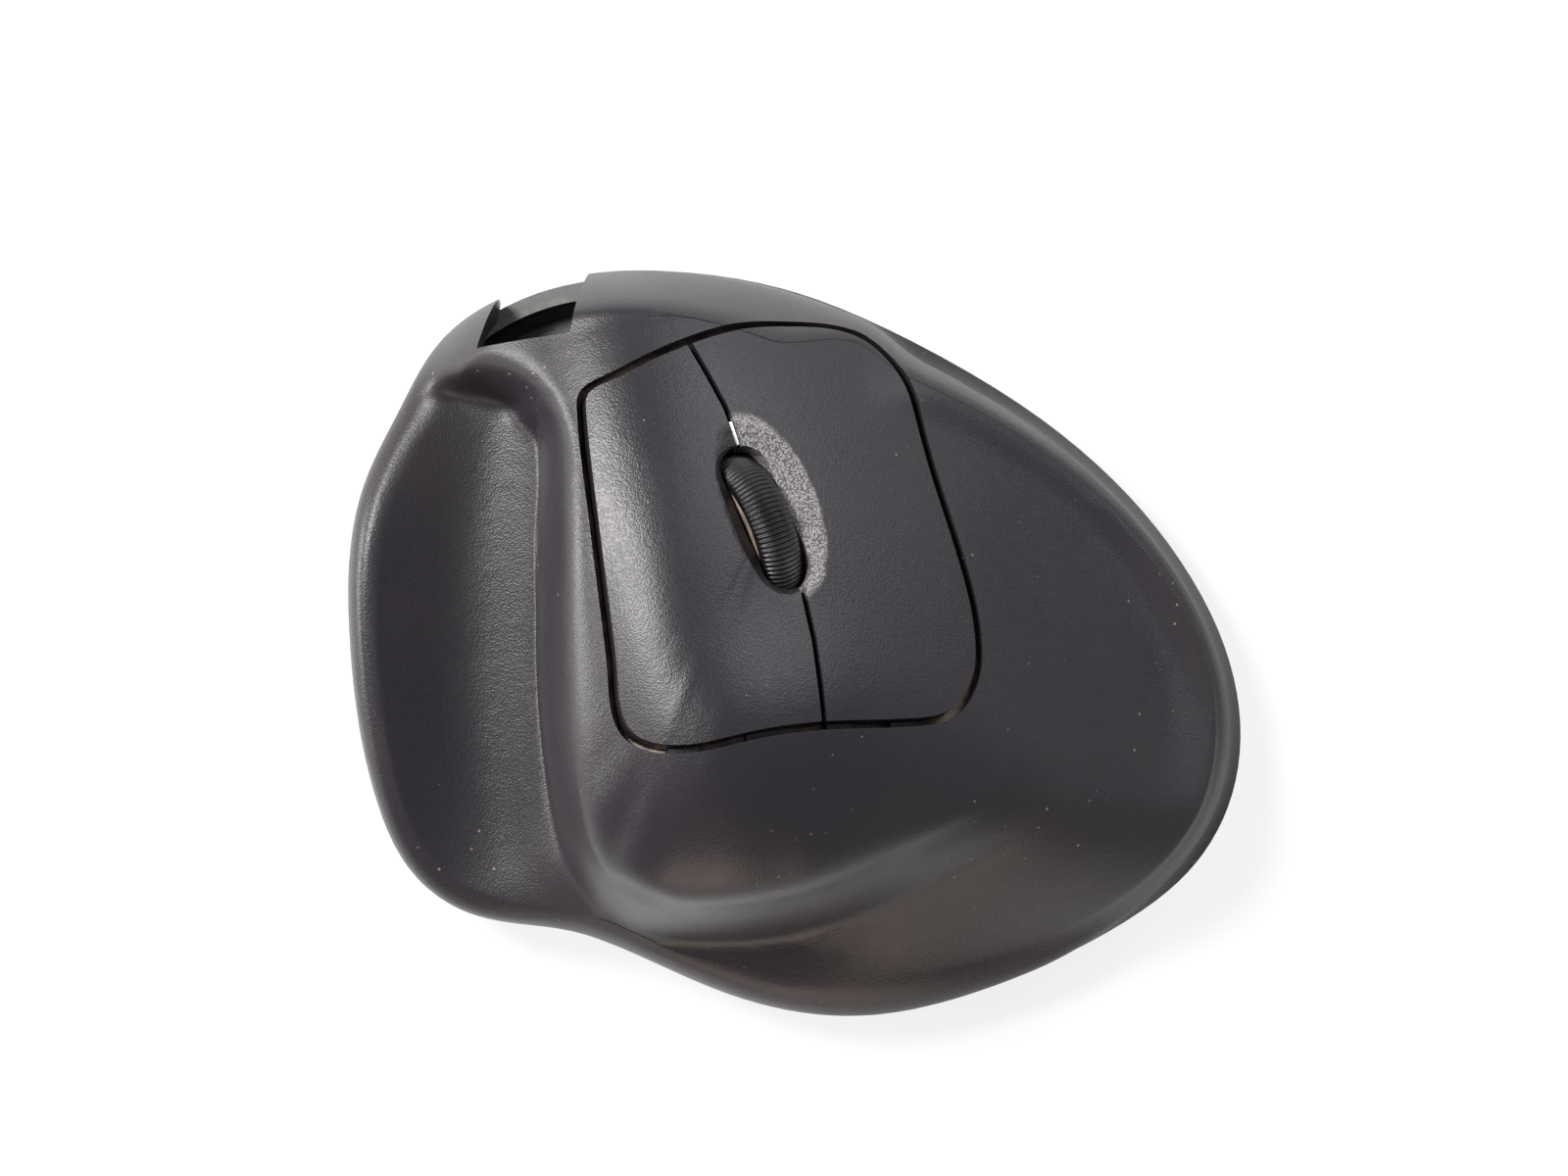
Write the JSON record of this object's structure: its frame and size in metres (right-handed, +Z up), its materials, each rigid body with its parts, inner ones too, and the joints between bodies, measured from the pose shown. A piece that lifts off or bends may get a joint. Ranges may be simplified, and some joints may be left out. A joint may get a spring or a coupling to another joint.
{
  "type": "ergonomic mouse",
  "caption": "Right-handed palm-supporting computer mouse with thumb and finger rests, split front buttons that click and a pressable scroll wheel that turns.",
  "frame": {"origin": "centre of the object's plan box, on the face that the glide feet rest on", "axes": "+X to the little-finger side, +Y to the front where the fingertips and buttons are, +Z up"},
  "size_m": [0.1308, 0.1097, 0.0553],
  "materials": {
    "soft_black": "soft-touch black with a fine leather grain",
    "casing_black": "moulded dark grey, fine spark texture",
    "frame_black": "plain moulded dark grey",
    "tyre_rubber": "ribbed black rubber",
    "steel": "turned steel",
    "circuit_board": "green solder mask",
    "white_board": "white solder mask",
    "switch_case": "moulded black switch case",
    "plunger_white": "white moulded button",
    "light_white": "frosted white light guide",
    "clear_lens": "clear moulded lens",
    "battery_wrap": "plain grey shrink wrap",
    "foam": "black foam tape",
    "glide": "slick dark glide feet",
    "cable_sheath": "black cable sheath"
  },
  "bodies": {
    "housing": {"top_shell": "soft_black", "lower_casing": "casing_black", "button_plate": "frame_black", "hinge_pins": "steel", "plate_screws": "steel", "switch_board": "circuit_board", "left_switch": "switch_case", "right_switch": "switch_case", "middle_switch": "switch_case", "board_screws": "steel", "light_guide": "light_white", "status_lamp": "light_white", "case_screws": "steel", "main_board": "circuit_board", "main_board_screws": "steel", "optical_sensor": "switch_case", "sensor_lens": "clear_lens", "sensor_led": "light_white", "port_board": "white_board", "charging_socket": "steel", "battery": "battery_wrap", "battery_pad": "foam", "power_switch": "switch_case", "glide_feet": "glide", "board_cable": "cable_sheath", "cable_plugs": "plunger_white"},
    "left_button": {"left_button": "soft_black"},
    "right_button": {"right_button": "soft_black"},
    "wheel_carrier": {"wheel_carrier": "frame_black", "encoder": "frame_black"},
    "wheel": {"wheel_tyre": "tyre_rubber", "wheel_hub": "frame_black", "wheel_axle": "steel"},
    "left_plunger": {"left_plunger": "plunger_white"},
    "right_plunger": {"right_plunger": "plunger_white"},
    "middle_plunger": {"middle_plunger": "plunger_white"},
    "power_slider": {"power_slider": "casing_black"}
  },
  "joints": [
    {"name": "left_button_hinge", "type": "hinge", "parent": "housing", "child": "left_button", "pos_m": [-0.00454, -0.01966, 0.04466], "axis": [-0.9562, 0, 0.2926], "range_deg": [0, 0.7], "stiffness_Nm_per_rad": 2, "springref_deg": -0.57},
    {"name": "left_plunger_slide", "type": "slide", "parent": "housing", "child": "left_plunger", "axis": [-0.2829, -0.2552, -0.9246], "range_m": [0, 0.00045]},
    {"name": "right_button_hinge", "type": "hinge", "parent": "housing", "child": "right_button", "pos_m": [-0.00505, -0.01769, 0.043], "axis": [-0.9562, 0, 0.2926], "range_deg": [0, 0.7], "stiffness_Nm_per_rad": 2, "springref_deg": -0.57},
    {"name": "right_plunger_slide", "type": "slide", "parent": "housing", "child": "right_plunger", "axis": [-0.2829, -0.2552, -0.9246], "range_m": [0, 0.00045]},
    {"name": "wheel_press", "type": "slide", "parent": "housing", "child": "wheel_carrier", "axis": [-0.2829, -0.2552, -0.9246], "range_m": [0, 0.0005], "stiffness_N_per_m": 1200, "springref_m": -0.0004},
    {"name": "wheel_spin", "type": "hinge", "parent": "wheel_carrier", "child": "wheel", "pos_m": [-0.00721, 0.01555, 0.03584], "axis": [-0.873, -0.3307, 0.3584], "continuous": true},
    {"name": "middle_plunger_slide", "type": "slide", "parent": "housing", "child": "middle_plunger", "axis": [-0.2829, -0.2552, -0.9246], "range_m": [0, 0.0005]},
    {"name": "power_slide", "type": "slide", "parent": "housing", "child": "power_slider", "axis": [1, 0, 0], "range_m": [0, 0.003]}
  ],
  "couplings": [
    {"joint": "left_plunger_slide", "follows": "left_button_hinge", "m_per_rad": 0.033423},
    {"joint": "right_plunger_slide", "follows": "right_button_hinge", "m_per_rad": 0.02855},
    {"joint": "middle_plunger_slide", "follows": "wheel_press", "ratio": 1}
  ]
}
